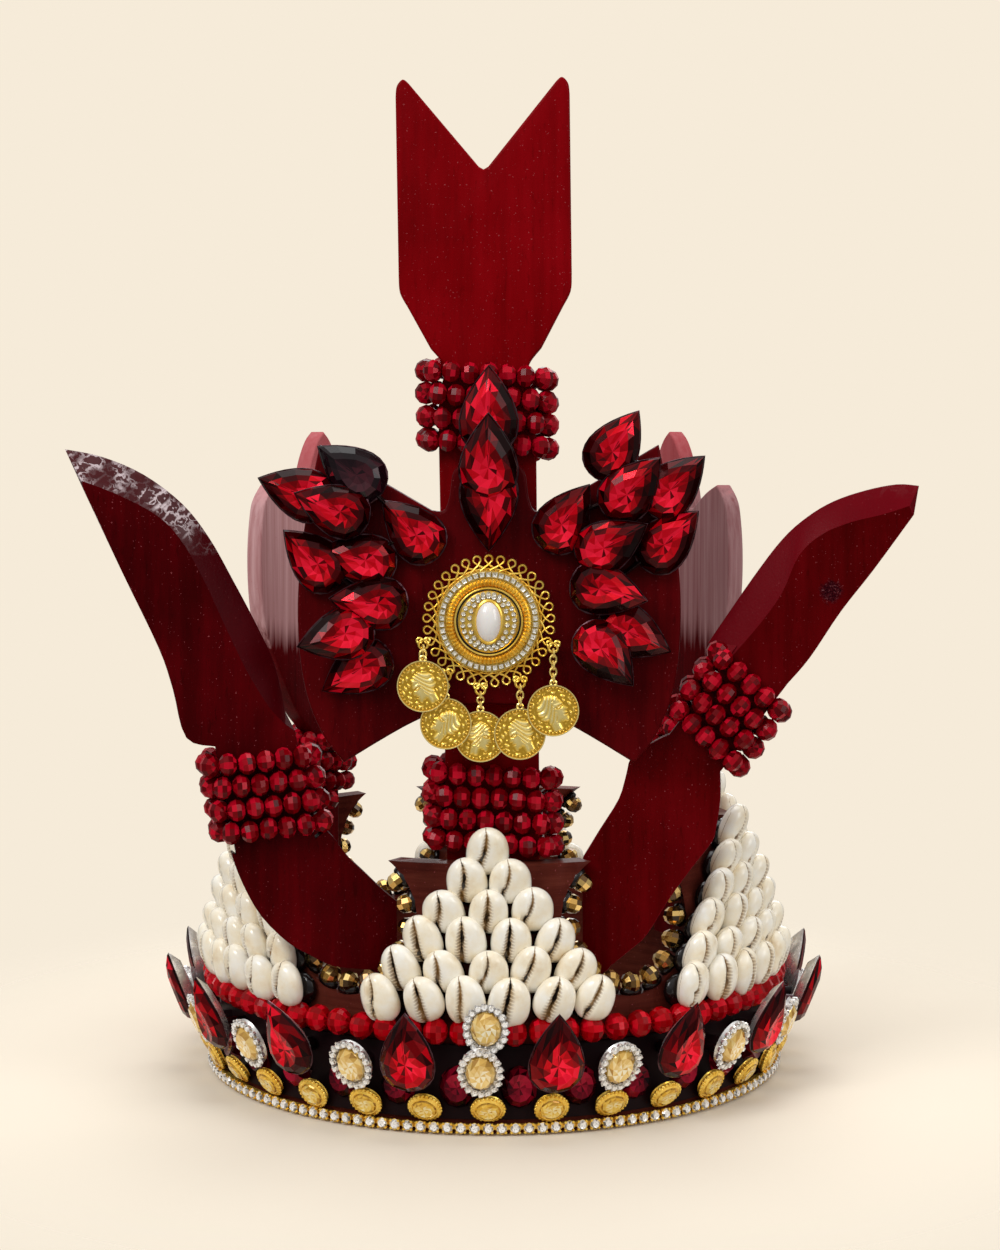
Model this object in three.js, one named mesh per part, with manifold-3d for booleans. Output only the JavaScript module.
// A votive crown of lacquered wood: a ring with six prongs, cowrie panels, bead strands and cut
// stones, and a large double axe, two side axes and two machetes standing inside the prongs.
// Millimetres, +Z up, the crown's front faces -Y, and z = 0 is the surface it stands on.

import * as THREE from 'three';
import { mergeVertices } from 'three/addons/utils/BufferGeometryUtils.js';
import Module from 'manifold-3d';

const wasm = await Module();
wasm.setup();

// Clearances and cut allowances
const seatGap = 0.3;
const bondDepth = 0.8;
const cutOverrun = 20;

// The turned wooden ring with its six prongs
const ring = {
  baseRadius: 107.8,
  taper: 11.6,
  height: 92,
  wall: 8,
  segments: 48,
};
const prong = { count: 6 };
const cutout = { radius: 26, centreHeight: 70, sides: 16 };

// Trim round the foot of the ring, from the bottom up
const stripFlats = 32;
const chain = { bottom: 0.5, top: 4.9, depth: 3.6 };
const cabochonBand = { bottom: 5.6, top: 11.2, depth: 1.6 };
const cabochon = {
  count: 32, width: 11.5, height: 9, depth: 3.4, standOff: 7.96, centreHeight: 9.2, sides: 5,
};
const cabochonTilt = THREE.MathUtils.degToRad(35);
const cabochonPad = { width: 5, height: 3 };
const stoneBand = { bottom: 12, top: 30.4, depth: 1.6 };
const smallStone = { count: 32, width: 14, height: 17, depth: 4.6, centreHeight: 21.9, sides: 4 };
const ovalCrystal = {
  count: 16, width: 15, height: 16.6, depth: 5, standOff: 16.93, centreHeight: 24.8, sides: 5,
};
const ovalPad = { width: 7, height: 9 };
const upperCrystalRise = 14.6;
const baseBead = { count: 75, radius: 4.8, neckRadius: 2.6, centreHeight: 35.9, sides: 4 };

// Teardrop stones standing round the foot, and those on the axe
const teardrop = { count: 16, length: 27, width: 20, depth: 6, standOff: 16.93, centreHeight: 30.4 };
const teardropLean = THREE.MathUtils.degToRad(22);
const teardropSeat = { width: 4.4, bottom: 23.6, top: 28.6, inside: 2.4 };
const axeStone = { length: 27, width: 18, depth: 6 };
const glueRunWidth = 7;
const glueRunDepth = 1.6;
const gluePadShare = 0.5;
const pearOutlineShares = [
  [0, 0.55], [0.34, 0.18], [0.5, -0.16], [0.3, -0.4],
  [0, -0.45], [-0.3, -0.4], [-0.5, -0.16], [-0.34, 0.18],
];
const tableShare = 0.6;
const pavilionShare = 0.72;

// Faceted gold beads along the edge of each cut-out
const edgingBead = { count: 13, radius: 3.6, neckRadius: 1.7, inset: 2.2, sides: 4 };
const edgingRise = THREE.MathUtils.degToRad(52);

// Cowrie shells on each prong, in rows of six down to one
const shell = { length: 17.4, width: 14.2, depth: 8, standOff: 6.6, sides: 4 };
const shellLean = THREE.MathUtils.degToRad(22);
const shellFan = THREE.MathUtils.degToRad(17);
const shellRows = { count: 6, firstHeight: 49.6, pitch: 9.7, firstHalfSpan: 37.4, columnPitch: 15 };
const shellRingShares = [[-0.5, 0.3], [0.04, 1], [0.5, 0.3]];
const panel = { bottom: 45.2, top: 98, depth: 3.2, bottomHalfSpan: 38, topHalfSpan: 7, columns: 6 };

// The front double axe: a shaft with a swallowtail top, and the head board on its face
const shaft = {
  width: 34, thickness: 7, bottom: 38, neckHeight: 266, leanHeight: 190, footInset: 0.8,
};
const shaftLean = THREE.MathUtils.degToRad(0.8);
const swallowtail = { width: 60, top: 363.4, notchBottom: 332.4, flare: 24, tipInset: 2.4 };
const head = { halfWidth: 66.4, thickness: 8, bottom: 127.3, height: 110.3 };
const headOutlineShares = [
  [0.15, 0.945], [0.2, 0.9], [0.21, 0.8], [0.27, 0.79], [0.88, 1], [0.94, 0.8], [0.985, 0.63],
  [1, 0.49], [0.99, 0.35], [0.94, 0.2], [0.86, 0.08], [0.76, 0], [0.235, 0.174],
];

// Machetes: outlines in the plane of each board, as shares of its reach outward and its height
const machete = { thickness: 6, anchorSide: 45, reach: 104, height: 236 };
const leftStand = { yaw: THREE.MathUtils.degToRad(12), insideTop: 4.6 };
const rightStand = { yaw: THREE.MathUtils.degToRad(6), insideTop: 6.8 };
const bevelLand = 1.4;
const leftBladeShares = {
  spine: [
    [0.975, 1, 0.925, 0.955], [0.855, 0.989, 0.81, 0.935], [0.72, 0.963, 0.68, 0.904],
    [0.594, 0.92, 0.6, 0.866], [0.507, 0.87, 0.53, 0.81], [0.43, 0.808, 0.465, 0.746],
    [0.353, 0.742, 0.39, 0.675], [0.292, 0.681, 0.315, 0.62], [0.258, 0.611, 0.262, 0.595],
  ],
  handle: [
    [0.12, 0.432], [0.058, 0.396], [-0.001, 0.37], [-0.062, 0.343], [-0.112, 0.324], [-0.114, 0.174],
    [-0.062, 0.174], [-0.062, 0.2], [-0.013, 0.222], [0.103, 0.229], [0.186, 0.248], [0.259, 0.268],
    [0.348, 0.309], [0.409, 0.358], [0.445, 0.403],
  ],
  belly: [[0.592, 0.578], [0.633, 0.648], [0.678, 0.709], [0.796, 0.822], [0.918, 0.942]],
};
const rightBladeShares = {
  spine: [
    [0.998, 0.947, 0.966, 0.918], [0.925, 0.949, 0.875, 0.905], [0.822, 0.94, 0.775, 0.894],
    [0.718, 0.924, 0.68, 0.876], [0.632, 0.901, 0.605, 0.845], [0.55, 0.868, 0.55, 0.79],
    [0.45, 0.809, 0.478, 0.744], [0.37, 0.757, 0.42, 0.725],
  ],
  handle: [
    [0.14, 0.57], [0.081, 0.554], [0.045, 0.539], [0.033, 0.518], [0.006, 0.478], [-0.06, 0.43],
    [-0.114, 0.39], [-0.114, 0.174], [-0.062, 0.174], [-0.062, 0.2], [-0.017, 0.227], [0.05, 0.252],
    [0.106, 0.276], [0.175, 0.327], [0.254, 0.377], [0.322, 0.417], [0.336, 0.437], [0.35, 0.48],
  ],
  belly: [[0.645, 0.695], [0.745, 0.763], [0.85, 0.824], [0.98, 0.905]],
};

// Side axes: one board each, shaft, head and pointed finial together
const sideAxe = { halfWidth: 43, shaftWidth: 18, thickness: 7, bottom: 38, top: 244, azimuthShare: 2 };
const sideAxeOutlineShares = [
  [0, 1], [0.2, 0.955], [0.31, 0.9], [0.36, 0.87], [0.62, 0.9], [0.79, 0.913], [0.95, 0.874],
  [1, 0.81], [0.99, 0.74], [0.92, 0.68], [0.76, 0.625], [0.45, 0.54],
];

// Bead windings round the shafts and grips
const winding = { beadRadius: 3.55, turns: 4, pitch: 8, clearance: 0.55, sides: 4, cornerSteps: 2 };
const frontWinding = { belowNeck: 32, belowHead: 33.1 };
const sideWinding = { bottom: 93.8 };
const leftGrip = { width: 28, reach: 34.3, height: 116.4 };
const rightGrip = { width: 22, reach: 39, height: 145.6 };
const leftGripTilt = THREE.MathUtils.degToRad(10.2);
const rightGripTilt = THREE.MathUtils.degToRad(36.4);

// Brooch and its five hanging coins
const broochHeightShare = 0.4506;
const brooch = { laceRadius: 23.2, laceThickness: 0.9 };
const lobe = { depth: 1.6, steps: 44 };
const broochBoss = { radius: 11, depth: 2.8, sides: 8 };
const eyelet = { radius: 2.1, hole: 1.15, orbit: 24, sides: 8 };
const dome = { radius: 17.3, depth: 2.6, innerRadius: 11.7, innerDepth: 1.6, sides: 14 };
const pearl = { width: 8.8, height: 14.2, depth: 4.4, sides: 10 };
const coin = { radius: 8.9, thickness: 1.2, sides: 10, layerPitch: 1.75, linkWidth: 1.5 };
const jumpRing = { radius: 1.7, wireRadius: 0.4, steps: 6, sides: 4 };
const coinPlaces = [
  { side: -22.6, drop: 14.1, layer: 2 },
  { side: -14.8, drop: 16.4, layer: 1 },
  { side: -2.9, drop: 16.1, layer: 0 },
  { side: 10.8, drop: 17.4, layer: 1 },
  { side: 22.2, drop: 21.4, layer: 2 },
];

// Stones on the axe head: across and up in shares of the head, turn in degrees, layer above it
const leftStoneShares = [
  [-0.98, 0.85, 70, 0], [-0.79, 0.8, 68, 1], [-0.7, 0.915, 54, 0], [-0.39, 0.73, 45, 0],
  [-0.66, 0.645, 76, 0], [-0.9, 0.64, 46, 0], [-0.6, 0.51, 84, 1], [-0.77, 0.41, 105, 0],
  [-0.66, 0.3, 121, 1],
];
const rightStoneShares = [
  [0.65, 0.99, -33, 0], [0.95, 0.87, -46, 0], [0.73, 0.86, -42, 1], [0.39, 0.765, -35, 0],
  [0.62, 0.69, -61, 1], [0.92, 0.7, -46, 0], [0.6, 0.55, -104, 1], [0.74, 0.415, -116, 0],
  [0.6, 0.355, -139, 1],
];
const centreStone = { length: 30, width: 20, upperRise: 71, middleRise: 55, lowerRise: 40.6 };
const stoneLayer = { base: 3.4, rise: 3.4 };
const stoneSplay = THREE.MathUtils.degToRad(9);

const colours = {
  wood: { color: 0x4a0a12, roughness: 0.25, metalness: 0 },
  darkWood: { color: 0x3a1512, roughness: 0.35, metalness: 0 },
  cherryBead: { color: 0x8a0a1c, roughness: 0.2, metalness: 0 },
  redBead: { color: 0xd01226, roughness: 0.2, metalness: 0 },
  redStone: { color: 0xa00818, roughness: 0.08, metalness: 0.1 },
  darkStone: { color: 0x5a0a18, roughness: 0.1, metalness: 0.1 },
  shell: { color: 0xf1e8d6, roughness: 0.35, metalness: 0 },
  gold: { color: 0xd8a52a, roughness: 0.3, metalness: 1 },
  bronzeBead: { color: 0x8a6420, roughness: 0.2, metalness: 0.8 },
  crystal: { color: 0xe8e2d2, roughness: 0.1, metalness: 0.4 },
  pearl: { color: 0xf4efe8, roughness: 0.2, metalness: 0 },
};

const crown = new THREE.Group();

function part(name, geometry, finish, parent = crown) {
  const mesh = new THREE.Mesh(geometry, new THREE.MeshStandardMaterial(colours[finish]));
  mesh.name = name;
  parent.add(mesh);
  return mesh;
}

function turned(azimuth, parent = crown) {
  const group = new THREE.Group();
  group.rotation.z = azimuth;
  parent.add(group);
  return group;
}

function solidOf(geometry) {
  const bare = geometry.clone();
  bare.deleteAttribute('normal');
  bare.deleteAttribute('uv');
  const merged = mergeVertices(bare, bondDepth / 1000);
  return new wasm.Manifold(new wasm.Mesh({
    numProp: 3,
    vertProperties: new Float32Array(merged.attributes.position.array),
    triVerts: new Uint32Array(merged.index.array),
  }));
}

function geometryOf(solid) {
  const mesh = solid.getMesh();
  const geometry = new THREE.BufferGeometry();
  geometry.setAttribute('position', new THREE.BufferAttribute(mesh.vertProperties, 3));
  geometry.setIndex(new THREE.BufferAttribute(mesh.triVerts, 1));
  return geometry;
}

function joined(geometries) {
  return geometryOf(wasm.Manifold.union(geometries.map(solidOf)));
}

// A closed body through rings of points: capped at both ends, or closed on itself
function loft(rings, closesOnItself = false, capOutlines = null) {
  const sides = rings[0].length;
  const spans = closesOnItself ? rings.length : rings.length - 1;
  const indices = [];
  for (let span = 0; span < spans; span += 1) {
    const next = (span + 1) % rings.length;
    for (let side = 0; side < sides; side += 1) {
      const across = (side + 1) % sides;
      const corners = [
        span * sides + side, span * sides + across, next * sides + across, next * sides + side,
      ];
      indices.push(corners[0], corners[1], corners[2], corners[0], corners[2], corners[3]);
    }
  }
  if (!closesOnItself) {
    const lastStart = (rings.length - 1) * sides;
    for (const [first, second, third] of capTriangles(sides, capOutlines?.[0])) {
      indices.push(second, first, third);
    }
    for (const [first, second, third] of capTriangles(sides, capOutlines?.[1])) {
      indices.push(lastStart + first, lastStart + second, lastStart + third);
    }
  }
  const points = rings.flat();
  if (signedVolume(points, indices) < 0) {
    indices.reverse();
  }
  const geometry = new THREE.BufferGeometry();
  const positions = points.flatMap((point) => point.toArray());
  geometry.setAttribute('position', new THREE.Float32BufferAttribute(positions, 3));
  geometry.setIndex(indices);
  return geometry;
}

function capTriangles(sides, outline) {
  if (outline) {
    const triangles = THREE.ShapeUtils.triangulateShape(outline, []);
    const windsForward = THREE.ShapeUtils.area(outline) > 0;
    return triangles.map(([a, b, c]) => {
      const area = outline[b].clone().sub(outline[a]).cross(outline[c].clone().sub(outline[a]));
      return (area > 0) === windsForward ? [a, b, c] : [a, c, b];
    });
  }
  return Array.from({ length: sides - 2 }, (_, index) => [0, index + 1, index + 2]);
}

function signedVolume(points, indices) {
  let volume = 0;
  for (let start = 0; start < indices.length; start += 3) {
    const [a, b, c] = [points[indices[start]], points[indices[start + 1]], points[indices[start + 2]]];
    volume += a.dot(b.clone().cross(c));
  }
  return volume;
}

// A tube through stations, each with a centre, an outward and an upward direction and a radius
function tube(stations, sides, closesOnItself = false) {
  const rings = stations.map(({ centre, out, up, radius }) => (
    Array.from({ length: sides }, (_, side) => {
      const turn = (side / sides) * Math.PI * 2;
      return centre.clone()
        .addScaledVector(out, radius * Math.cos(turn))
        .addScaledVector(up, radius * Math.sin(turn));
    })
  ));
  return loft(rings, closesOnItself);
}

function onRing(radius, azimuth, height) {
  return new THREE.Vector3(radius * Math.sin(azimuth), -radius * Math.cos(azimuth), height);
}

function wallRadius(height) {
  return ring.baseRadius - ring.taper * (height / ring.height);
}

// How far from the crown's axis a stone that stands off the wall reaches
function standingReach(stone) {
  return wallRadius(stone.centreHeight) + stone.standOff;
}

const topRadius = wallRadius(ring.height);
const topInnerRadius = topRadius - ring.wall;
const prongStep = (Math.PI * 2) / prong.count;

function lathed(profile, segments) {
  return new THREE.LatheGeometry([...profile, profile[0]], segments).rotateX(Math.PI / 2);
}

// The ring itself, its wall cut by round notches that leave the prongs standing
function crownRing() {
  const wallProfile = [
    new THREE.Vector2(ring.baseRadius - ring.wall, 0),
    new THREE.Vector2(ring.baseRadius, 0),
    new THREE.Vector2(topRadius, ring.height),
    new THREE.Vector2(topInnerRadius, ring.height),
  ];
  const notchLength = ring.wall + cutOverrun * 2;
  let solid = solidOf(lathed(wallProfile, ring.segments));
  for (let index = 0; index < prong.count; index += 1) {
    const notch = new THREE.CylinderGeometry(cutout.radius, cutout.radius, notchLength, cutout.sides);
    notch.translate(0, -wallRadius(cutout.centreHeight), cutout.centreHeight);
    notch.rotateZ((index + 1 / 2) * prongStep);
    solid = solid.subtract(solidOf(notch));
  }
  return geometryOf(solid);
}

// A strip round the wall, following its taper, its flats turned by a share of one flat
function wallStrip(bottom, top, depth, turnShare) {
  const flatAngle = (Math.PI * 2) / stripFlats;
  const corner = (height, outward) => (
    new THREE.Vector2((wallRadius(height) + seatGap) / Math.cos(flatAngle / 2) + outward, height)
  );
  const profile = [corner(bottom, 0), corner(bottom, depth), corner(top, depth), corner(top, 0)];
  return lathed(profile, stripFlats).rotateZ(turnShare * flatAngle);
}

function ovalRing(width, height, sides) {
  return Array.from({ length: sides }, (_, side) => {
    const turn = ((side + 1 / 2) / sides) * Math.PI * 2;
    return new THREE.Vector3((width / 2) * Math.cos(turn), 0, (height / 2) * Math.sin(turn));
  });
}

// The back and table rings of a cut oval in the XZ plane, its back at y = 0, its table toward -Y
function ovalRings(width, height, depth, sides) {
  const table = ovalRing(width * tableShare, height * tableShare, sides);
  table.forEach((point) => point.setY(-depth));
  return [ovalRing(width, height, sides), table];
}

function ovalCushion(width, height, depth, sides) {
  return loft(ovalRings(width, height, depth, sides));
}

// A cut oval as above that also reaches back to a pad on the strip behind it
function settingOnPad(stone, tilt, pad) {
  const back = stone.depth - standingReach(stone);
  const setting = ovalRings(stone.width, stone.height, stone.depth, stone.sides).map((points) => (
    points.map((point) => {
      const turnedPoint = point.clone().applyAxisAngle(new THREE.Vector3(1, 0, 0), -tilt);
      return turnedPoint.add(new THREE.Vector3(0, back, stone.centreHeight));
    })
  ));
  const padRing = ovalRing(pad.width, pad.height, stone.sides);
  padRing.forEach((point) => point.add(new THREE.Vector3(0, -pad.reach, pad.centreHeight)));
  return loft([padRing, ...setting]);
}

function cabochonBandBody() {
  const bodies = [wallStrip(cabochonBand.bottom, cabochonBand.top, cabochonBand.depth, 1 / 2)];
  const padHeight = (cabochonBand.bottom + cabochonBand.top) / 2;
  const pad = { ...cabochonPad, reach: wallRadius(padHeight) + bondDepth * 2, centreHeight: padHeight };
  for (let index = 0; index < cabochon.count; index += 1) {
    const azimuth = (index / cabochon.count) * Math.PI * 2;
    bodies.push(settingOnPad(cabochon, cabochonTilt, pad).rotateZ(azimuth));
  }
  return joined(bodies);
}

function stoneBandBody() {
  const bodies = [wallStrip(stoneBand.bottom, stoneBand.top, stoneBand.depth, 0)];
  const wallTilt = Math.atan(ring.taper / ring.height);
  const stoneReach = wallRadius(smallStone.centreHeight) + stoneBand.depth - bondDepth / 4;
  for (let index = 0; index < smallStone.count; index += 1) {
    const stone = ovalCushion(smallStone.width, smallStone.height, smallStone.depth, smallStone.sides);
    stone.rotateX(-wallTilt).translate(0, -stoneReach, smallStone.centreHeight);
    bodies.push(stone.rotateZ(((index + 1 / 2) / smallStone.count) * Math.PI * 2));
  }
  const pad = {
    ...ovalPad,
    reach: wallRadius(ovalCrystal.centreHeight) + bondDepth * 2,
    centreHeight: ovalCrystal.centreHeight,
  };
  for (let index = 0; index < ovalCrystal.count; index += 1) {
    bodies.push(settingOnPad(ovalCrystal, 0, pad).rotateZ((index / ovalCrystal.count) * Math.PI * 2));
  }
  const upper = ovalCushion(ovalCrystal.width, ovalCrystal.height, ovalCrystal.depth, ovalCrystal.sides);
  bodies.push(upper.translate(
    0, ovalCrystal.depth - standingReach(ovalCrystal), ovalCrystal.centreHeight + upperCrystalRise,
  ));
  return joined(bodies);
}

function baseBeadStrand() {
  const orbit = wallRadius(baseBead.centreHeight - baseBead.radius) + seatGap + baseBead.radius;
  const stations = Array.from({ length: baseBead.count * 2 }, (_, index) => {
    const azimuth = (index / (baseBead.count * 2)) * Math.PI * 2;
    return {
      centre: onRing(orbit, azimuth, baseBead.centreHeight),
      out: onRing(1, azimuth, 0),
      up: new THREE.Vector3(0, 0, 1),
      radius: index % 2 === 0 ? baseBead.radius : baseBead.neckRadius,
    };
  });
  return tube(stations, baseBead.sides, true);
}

// Beads along the notch edge, from one prong top down round the notch and up to the next
function edgingStrand() {
  const orbit = cutout.radius - seatGap - edgingBead.radius;
  const sweep = Math.PI + edgingRise * 2;
  const stations = Array.from({ length: edgingBead.count * 2 + 1 }, (_, index) => {
    const turn = Math.PI - edgingRise + (index / (edgingBead.count * 2)) * sweep;
    const height = cutout.centreHeight + orbit * Math.sin(turn);
    const reach = wallRadius(height) - edgingBead.inset;
    const centre = onRing(reach, (orbit * Math.cos(turn)) / reach, height);
    const radial = new THREE.Vector3(centre.x, centre.y, 0).normalize();
    const along = new THREE.Vector3(-radial.y, radial.x, 0);
    return {
      centre,
      out: along.multiplyScalar(Math.cos(turn)).setZ(Math.sin(turn)),
      up: radial,
      radius: index % 2 === 1 ? edgingBead.radius : edgingBead.neckRadius,
    };
  });
  return tube(stations, edgingBead.sides);
}

function cowrie() {
  const rings = shellRingShares.map(([lengthShare, girthShare]) => (
    Array.from({ length: shell.sides }, (_, side) => {
      const turn = (side / shell.sides) * Math.PI * 2 - Math.PI / 2;
      return new THREE.Vector3(
        (shell.width / 2) * girthShare * Math.cos(turn),
        (shell.depth / 2) * girthShare * Math.sin(turn),
        shell.length * lengthShare,
      );
    })
  ));
  return loft(rings);
}

// A curved backing on the prong, with the shells bonded on it row by row
function cowriePanelBody() {
  const rings = Array.from({ length: panel.columns + 1 }, (_, column) => {
    const across = (column / panel.columns) * 2 - 1;
    const topHeight = THREE.MathUtils.lerp(panel.top, panel.bottom, Math.max(
      0,
      (Math.abs(across) * panel.bottomHalfSpan - panel.topHalfSpan)
        / (panel.bottomHalfSpan - panel.topHalfSpan),
    )) + panel.depth;
    const azimuth = (across * panel.bottomHalfSpan) / wallRadius(panel.bottom);
    return [[panel.bottom, 0], [panel.bottom, panel.depth], [topHeight, panel.depth], [topHeight, 0]].map(
      ([height, depth]) => onRing(wallRadius(height) + seatGap + depth, azimuth, height),
    );
  });
  const bodies = [loft(rings)];
  for (let row = 0; row < shellRows.count; row += 1) {
    const shells = shellRows.count - row;
    const height = shellRows.firstHeight + row * shellRows.pitch;
    const reach = wallRadius(height) + shell.standOff;
    for (let column = 0; column < shells; column += 1) {
      const across = (column - (shells - 1) / 2) * shellRows.columnPitch;
      const body = cowrie();
      body.rotateX(shellLean);
      body.rotateY((across / shellRows.firstHalfSpan) * shellFan);
      body.translate(0, -reach, height);
      bodies.push(body.rotateZ(across / reach));
    }
  }
  return joined(bodies);
}

function pearRing(size, share, back) {
  return pearOutlineShares.map(([across, along]) => (
    new THREE.Vector3(across * size.width * share, back, along * size.length * share)
  ));
}

// The girdle and table of a pear-shaped cut stone in the XZ plane, tip up, its table toward -Y
function pearRings(size) {
  return [pearRing(size, 1, 0), pearRing(size, tableShare, -size.depth / 2)];
}

// A stone leaning outward at the foot, on the lump of glue that holds it to the band behind
function teardropBody() {
  const backRing = pearRing(teardrop, pavilionShare, teardrop.depth / 2);
  const stone = loft([backRing, ...pearRings(teardrop)]).rotateX(teardropLean);
  const reach = standingReach(teardrop);
  stone.translate(0, -reach, teardrop.centreHeight);
  const half = teardropSeat.width / 2;
  const flatCorner = Math.cos(Math.PI / stripFlats);
  const bandReach = (wallRadius(teardropSeat.bottom) + seatGap) / flatCorner + stoneBand.depth + seatGap;
  const seat = loft([teardropSeat.bottom, teardropSeat.top].map((height) => [
    new THREE.Vector3(-half, teardropSeat.inside - reach, height),
    new THREE.Vector3(half, teardropSeat.inside - reach, height),
    new THREE.Vector3(half, -bandReach, height),
    new THREE.Vector3(-half, -bandReach, height),
  ]));
  return joined([stone, seat]);
}

function mirroredOutline(rightSide) {
  const offAxis = rightSide.filter((point) => point.x > 0);
  const leftSide = offAxis.map((point) => new THREE.Vector2(-point.x, point.y));
  return [...rightSide, ...leftSide.reverse()];
}

// A board standing in the XZ plane, cut to an outline, its face at y = 0 and its back behind
function board(outline, thickness) {
  const flat = new THREE.Shape(outline);
  const geometry = new THREE.ExtrudeGeometry(flat, { depth: thickness, bevelEnabled: false });
  return geometry.rotateX(Math.PI / 2).translate(0, thickness, 0);
}

const shaftFace = -Math.sqrt((topInnerRadius - seatGap) ** 2 - (shaft.width / 2) ** 2);
const headFace = shaftFace - seatGap - head.thickness;

function shaftOutline() {
  const half = shaft.width / 2;
  const wide = swallowtail.width / 2;
  const rise = swallowtail.flare;
  const shoulder = shaft.neckHeight + rise;
  return mirroredOutline([
    new THREE.Vector2(0, swallowtail.notchBottom),
    new THREE.Vector2(wide - swallowtail.tipInset * 2, swallowtail.top - swallowtail.tipInset / 2),
    new THREE.Vector2(wide - swallowtail.tipInset, swallowtail.top),
    new THREE.Vector2(wide, swallowtail.top - swallowtail.tipInset * 2),
    new THREE.Vector2(wide, shoulder),
    new THREE.Vector2(half - seatGap, shoulder - rise * (wide - half) / wide),
    new THREE.Vector2(half - swallowtail.tipInset, shaft.neckHeight),
    new THREE.Vector2(half, shaft.neckHeight - rise),
    new THREE.Vector2(half - shaft.footInset, shaft.bottom),
    new THREE.Vector2(0, shaft.bottom),
  ]);
}

function headOutline() {
  const right = headOutlineShares.map(([across, up]) => (
    new THREE.Vector2(across * head.halfWidth, head.bottom + up * head.height)
  ));
  return mirroredOutline(right);
}

function sideAxeOutline() {
  const right = sideAxeOutlineShares.map(([across, up]) => (
    new THREE.Vector2(across * sideAxe.halfWidth, up * sideAxe.top)
  ));
  const lastHeight = sideAxeOutlineShares.at(-1)[1] * sideAxe.top;
  const half = sideAxe.shaftWidth / 2;
  right.push(new THREE.Vector2(half, lastHeight), new THREE.Vector2(half, sideAxe.bottom));
  return mirroredOutline(right);
}

// The four corners of the narrow stretch of a machete that its winding covers
function gripCorners(grip, tilt) {
  const along = new THREE.Vector2(Math.sin(tilt), Math.cos(tilt));
  const across = new THREE.Vector2(Math.cos(tilt), -Math.sin(tilt));
  const half = (winding.turns * winding.pitch) / 2 + winding.beadRadius;
  return [[1, -1], [-1, -1], [-1, 1], [1, 1]].map(([up, out]) => (
    new THREE.Vector2(grip.reach, grip.height)
      .addScaledVector(along, up * half)
      .addScaledVector(across, (out * grip.width) / 2)
  ));
}

// A blade with one long bevel: a full outline at the back and one drawn in at the face
function blade(shares, grip, tilt, side) {
  const sized = (reach, up) => new THREE.Vector2(reach * machete.reach, up * machete.height);
  const [innerTop, innerFoot, outerFoot, outerTop] = gripCorners(grip, tilt);
  const rest = [
    innerTop, innerFoot, ...shares.handle.map(([reach, up]) => sized(reach, up)),
    outerFoot, outerTop, ...shares.belly.map(([reach, up]) => sized(reach, up)),
  ];
  const edge = [...shares.spine.map(([reach, up]) => sized(reach, up)), ...rest];
  const ridge = [...shares.spine.map(([, , reach, up]) => sized(reach, up)), ...rest];
  const half = machete.thickness / 2;
  const rings = [[edge, half], [edge, half - bevelLand], [ridge, -half]].map(([outline, back]) => (
    outline.map((point) => new THREE.Vector3(side * point.x, back, point.y))
  ));
  return loft(rings, false, [edge, ridge]);
}

// One strand wound round a board in an unbroken climb, starting behind it
function windingTube(width, thickness) {
  const offset = winding.clearance + winding.beadRadius;
  const corners = [[1, 1], [1, -1], [-1, -1], [-1, 1]];
  const stations = [];
  const loopLength = 2 * (width + thickness) + 2 * Math.PI * offset;
  let travelled = 0;
  for (let turnIndex = 0; turnIndex < winding.turns; turnIndex += 1) {
    for (const [cornerIndex, [sideways, backward]] of corners.entries()) {
      travelled += cornerIndex % 2 === 0 ? width / (cornerIndex === 0 ? 2 : 1) : thickness;
      for (let step = 0; step <= winding.cornerSteps; step += 1) {
        const angle = Math.PI / 2 - (cornerIndex + step / winding.cornerSteps) * (Math.PI / 2);
        const out = new THREE.Vector3(Math.cos(angle), Math.sin(angle), 0);
        const turnShare = travelled / loopLength;
        stations.push(windingStation(out, sideways * width / 2, backward * thickness / 2, turnShare));
        travelled += step < winding.cornerSteps ? (offset * Math.PI) / 2 / winding.cornerSteps : 0;
      }
    }
    travelled += width / 2;
  }
  const back = new THREE.Vector3(0, 1, 0);
  stations.unshift(windingStation(back, 0, thickness / 2, 0));
  stations.push(windingStation(back, 0, thickness / 2, winding.turns));
  return stations;
}

function windingStation(out, cornerX, cornerY, turns) {
  const offset = winding.clearance + winding.beadRadius;
  const centre = new THREE.Vector3(cornerX, cornerY, turns * winding.pitch).addScaledVector(out, offset);
  return { centre, out, up: new THREE.Vector3(0, 0, 1), radius: winding.beadRadius };
}

// The least gap between stretches of a winding that lie a turn or more apart, on its points
function leastSelfGap(stations) {
  const loopStations = (stations.length - 2) / winding.turns;
  let least = Infinity;
  stations.forEach((station, index) => {
    stations.slice(index + Math.ceil(loopStations * 3 / 4)).forEach((other) => {
      least = Math.min(least, station.centre.distanceTo(other.centre) - winding.beadRadius * 2);
    });
  });
  return least;
}

function wound(name, width, thickness, parent) {
  const stations = windingTube(width, thickness);
  console.log(`${name}: least gap of the winding to itself ${leastSelfGap(stations).toFixed(2)} mm`);
  return part(name, tube(stations, winding.sides), 'cherryBead', parent);
}

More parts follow.
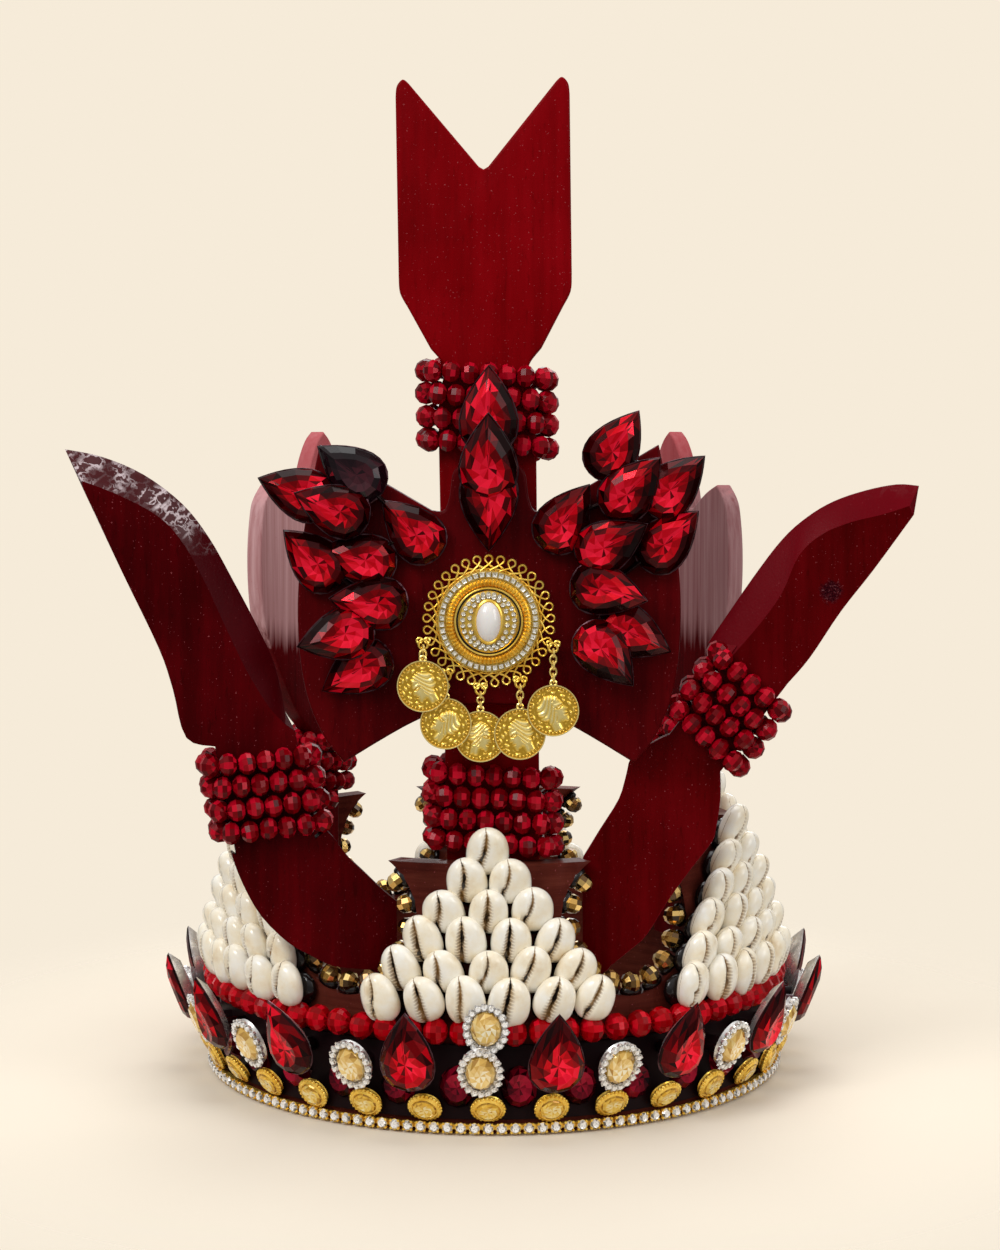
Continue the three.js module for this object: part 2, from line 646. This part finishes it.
// The gold lace: a disc with a lobed rim, a boss behind it and an eyelet for each coin
function laceBody() {
  const rim = Array.from({ length: lobe.steps }, (_, step) => {
    const turn = (step / lobe.steps) * Math.PI * 2;
    const reach = brooch.laceRadius - (step % 2 === 0 ? 0 : lobe.depth);
    return new THREE.Vector2(reach * Math.cos(turn), reach * Math.sin(turn));
  });
  const bodies = [board(rim, brooch.laceThickness)];
  const boss = new THREE.CylinderGeometry(
    broochBoss.radius, broochBoss.radius, broochBoss.depth + brooch.laceThickness / 2, broochBoss.sides,
  );
  boss.translate(0, brooch.laceThickness / 2 + (broochBoss.depth + brooch.laceThickness / 2) / 2, 0);
  bodies.push(boss);
  for (const place of coinPlaces) {
    const fullTurn = Math.PI * 2;
    const drop = eyeletDrop(place);
    const ringShape = new THREE.Shape().absarc(place.side, drop, eyelet.radius, 0, fullTurn);
    ringShape.holes.push(new THREE.Path().absarc(place.side, drop, eyelet.hole, 0, fullTurn));
    const geometry = new THREE.ExtrudeGeometry(ringShape, {
      depth: brooch.laceThickness, bevelEnabled: false, curveSegments: eyelet.sides / 2,
    });
    bodies.push(geometry.rotateX(Math.PI / 2).translate(0, brooch.laceThickness, 0));
  }
  return joined(bodies);
}

function eyeletDrop(place) {
  return -Math.sqrt(eyelet.orbit ** 2 - place.side ** 2);
}

// A coin on its link, hung by a jump ring through the eyelet at the origin
function coinBody(drop, forward) {
  const disc = new THREE.CylinderGeometry(coin.radius, coin.radius, coin.thickness, coin.sides);
  disc.translate(0, -forward, -drop);
  const { radius, wireRadius, sides, steps } = jumpRing;
  const wire = new THREE.TorusGeometry(radius, wireRadius, sides, steps);
  wire.rotateY(Math.PI / 2).translate(0, 0, -jumpRing.radius);
  const linkTop = -jumpRing.radius * 2;
  const linkBottom = -(drop - coin.radius) - bondDepth;
  const half = coin.linkWidth / 2;
  const link = loft([[linkTop, 0], [linkBottom, -forward]].map(([height, y]) => [
    new THREE.Vector3(-half, y - coin.thickness / 2, height),
    new THREE.Vector3(half, y - coin.thickness / 2, height),
    new THREE.Vector3(half, y + coin.thickness / 2, height),
    new THREE.Vector3(-half, y + coin.thickness / 2, height),
  ]));
  return joined([disc, wire, link]);
}

function domeBody() {
  const profile = [
    new THREE.Vector2(0, 0),
    new THREE.Vector2(dome.radius, 0),
    new THREE.Vector2(dome.radius, dome.depth / 2),
    new THREE.Vector2(dome.innerRadius, dome.depth),
    new THREE.Vector2(dome.innerRadius - dome.innerDepth, dome.innerDepth),
    new THREE.Vector2(0, dome.innerDepth),
  ];
  return new THREE.LatheGeometry(profile, dome.sides).rotateX(Math.PI);
}

// Cut stones on glue pads that run into each other, placed across and up the axe head
function stoneCluster(places) {
  const bodies = places.map(({ across, height, turn, layer, size }) => {
    const lift = stoneLayer.base + layer * stoneLayer.rise;
    const padRing = pearRing(size, gluePadShare, lift);
    const tilt = layer * stoneSplay;
    const rings = [padRing, ...pearRings(size).map((points) => (
      points.map((point) => point.applyAxisAngle(new THREE.Vector3(1, 0, 0), tilt))
    ))];
    return loft(rings).rotateY(-turn).translate(across, -lift, height);
  });
  places.slice(1).forEach((place, index) => bodies.push(glueRun(places[index], place)));
  return joined(bodies);
}

function glueRun(from, to) {
  const [across, rise] = [to.across - from.across, to.height - from.height];
  const run = new THREE.BoxGeometry(glueRunWidth, glueRunDepth, Math.hypot(across, rise));
  run.rotateY(Math.atan2(across, rise));
  return run.translate((from.across + to.across) / 2, -glueRunDepth / 2, (from.height + to.height) / 2);
}

function clusterPlaces(shares) {
  return shares.map(([across, up, turn, layer]) => ({
    across: across * head.halfWidth,
    height: head.bottom + up * head.height,
    turn: THREE.MathUtils.degToRad(turn),
    layer,
    size: axeStone,
  }));
}

// Ring and foot trim
part('crown_ring', crownRing(), 'darkWood');
part('crystal_chain', wallStrip(chain.bottom, chain.top, chain.depth, 0), 'crystal');
part('gold_cabochon_band', cabochonBandBody(), 'gold');
part('stone_band', stoneBandBody(), 'darkStone');
part('base_bead_strand', baseBeadStrand(), 'redBead');
for (let index = 0; index < teardrop.count; index += 1) {
  const azimuth = ((index + 1 / 2) / teardrop.count) * Math.PI * 2;
  part(`teardrop_${index + 1}`, teardropBody(), 'redStone', turned(azimuth));
}

// Prongs: shells on each face, beads round each notch between them
for (let index = 0; index < prong.count; index += 1) {
  part(`cowrie_panel_${index + 1}`, cowriePanelBody(), 'shell', turned(index * prongStep));
  const notch = turned((index + 1 / 2) * prongStep);
  part(`gold_bead_edging_${index + 1}`, edgingStrand(), 'bronzeBead', notch);
}

// The front axe
const leaningShaft = turned(0);
leaningShaft.rotation.y = -shaftLean;
leaningShaft.position.set(
  shaft.leanHeight * Math.sin(shaftLean), 0, shaft.leanHeight * (1 - Math.cos(shaftLean)),
);
part('axe_shaft', board(shaftOutline(), shaft.thickness), 'wood', leaningShaft).position.y = shaftFace;
part('axe_head', board(headOutline(), head.thickness), 'wood').position.y = headFace;
for (const [name, bottom] of [
  ['axe_upper_winding', shaft.neckHeight - frontWinding.belowNeck],
  ['axe_lower_winding', head.bottom - frontWinding.belowHead],
]) {
  const strand = wound(name, shaft.width, shaft.thickness, leaningShaft);
  strand.position.set(0, shaftFace + shaft.thickness / 2, bottom);
}
const axeStones = {
  left_stone_cluster: clusterPlaces(leftStoneShares),
  right_stone_cluster: clusterPlaces(rightStoneShares),
};
for (const [name, places] of Object.entries(axeStones)) {
  part(name, stoneCluster(places), 'redStone').position.y = headFace - seatGap;
}
const broochHeight = head.bottom + head.height * broochHeightShare;
const centreSize = { ...axeStone, length: centreStone.length, width: centreStone.width };
const centrePlaces = [
  { height: broochHeight + centreStone.upperRise, turn: 0, layer: 0 },
  { height: broochHeight + centreStone.middleRise, turn: 0, layer: 1 },
  { height: broochHeight + centreStone.lowerRise, turn: Math.PI, layer: 0 },
].map((place) => ({ ...place, across: 0, size: centreSize }));
part('centre_stone_cluster', stoneCluster(centrePlaces), 'redStone').position.y = headFace - seatGap;

// The brooch on the axe head, and the coins that hang from it
const laceFace = headFace - seatGap - broochBoss.depth - brooch.laceThickness;
part('brooch_lace', laceBody(), 'gold').position.set(0, laceFace, broochHeight);
part('brooch_crystal_dome', domeBody(), 'gold').position.set(0, laceFace - seatGap, broochHeight);
const pearlFace = laceFace - seatGap * 2 - dome.innerDepth;
const pearlBody = ovalCushion(pearl.width, pearl.height, pearl.depth, pearl.sides);
part('brooch_pearl', pearlBody, 'pearl').position.set(0, pearlFace, broochHeight);
coinPlaces.forEach((place, index) => {
  const hung = part(`coin_${index + 1}`, coinBody(place.drop, place.layer * coin.layerPitch), 'gold');
  const hingeHeight = broochHeight + eyeletDrop(place);
  hung.position.set(place.side, laceFace + brooch.laceThickness / 2, hingeHeight);
});

// Machetes standing in the notches either side of the front prong
for (const [name, side, shares, grip, tilt, place] of [
  ['left_machete', -1, leftBladeShares, leftGrip, leftGripTilt, leftStand],
  ['right_machete', 1, rightBladeShares, rightGrip, rightGripTilt, rightStand],
]) {
  const stand = turned(-side * place.yaw);
  stand.position.set(side * machete.anchorSide, -(topInnerRadius - place.insideTop), 0);
  part(name, blade(shares, grip, tilt, side), 'wood', stand);
  const strand = wound(`${name}_winding`, grip.width, machete.thickness, stand);
  strand.geometry.translate(0, 0, -(winding.turns * winding.pitch) / 2);
  strand.rotation.y = side * tilt;
  strand.position.set(side * grip.reach, 0, grip.height);
}

// Side axes on the inner faces of the two rear side prongs
const sideAxeFace = -Math.sqrt((topInnerRadius - seatGap) ** 2 - (sideAxe.shaftWidth / 2) ** 2);
for (const [name, side] of [['left_side_axe', -1], ['right_side_axe', 1]]) {
  const stand = turned(side * prongStep * sideAxe.azimuthShare);
  part(name, board(sideAxeOutline(), sideAxe.thickness), 'wood', stand).position.y = sideAxeFace;
  const strand = wound(`${name}_winding`, sideAxe.shaftWidth, sideAxe.thickness, stand);
  strand.position.set(0, sideAxeFace + sideAxe.thickness / 2, sideWinding.bottom);
}

export default crown;
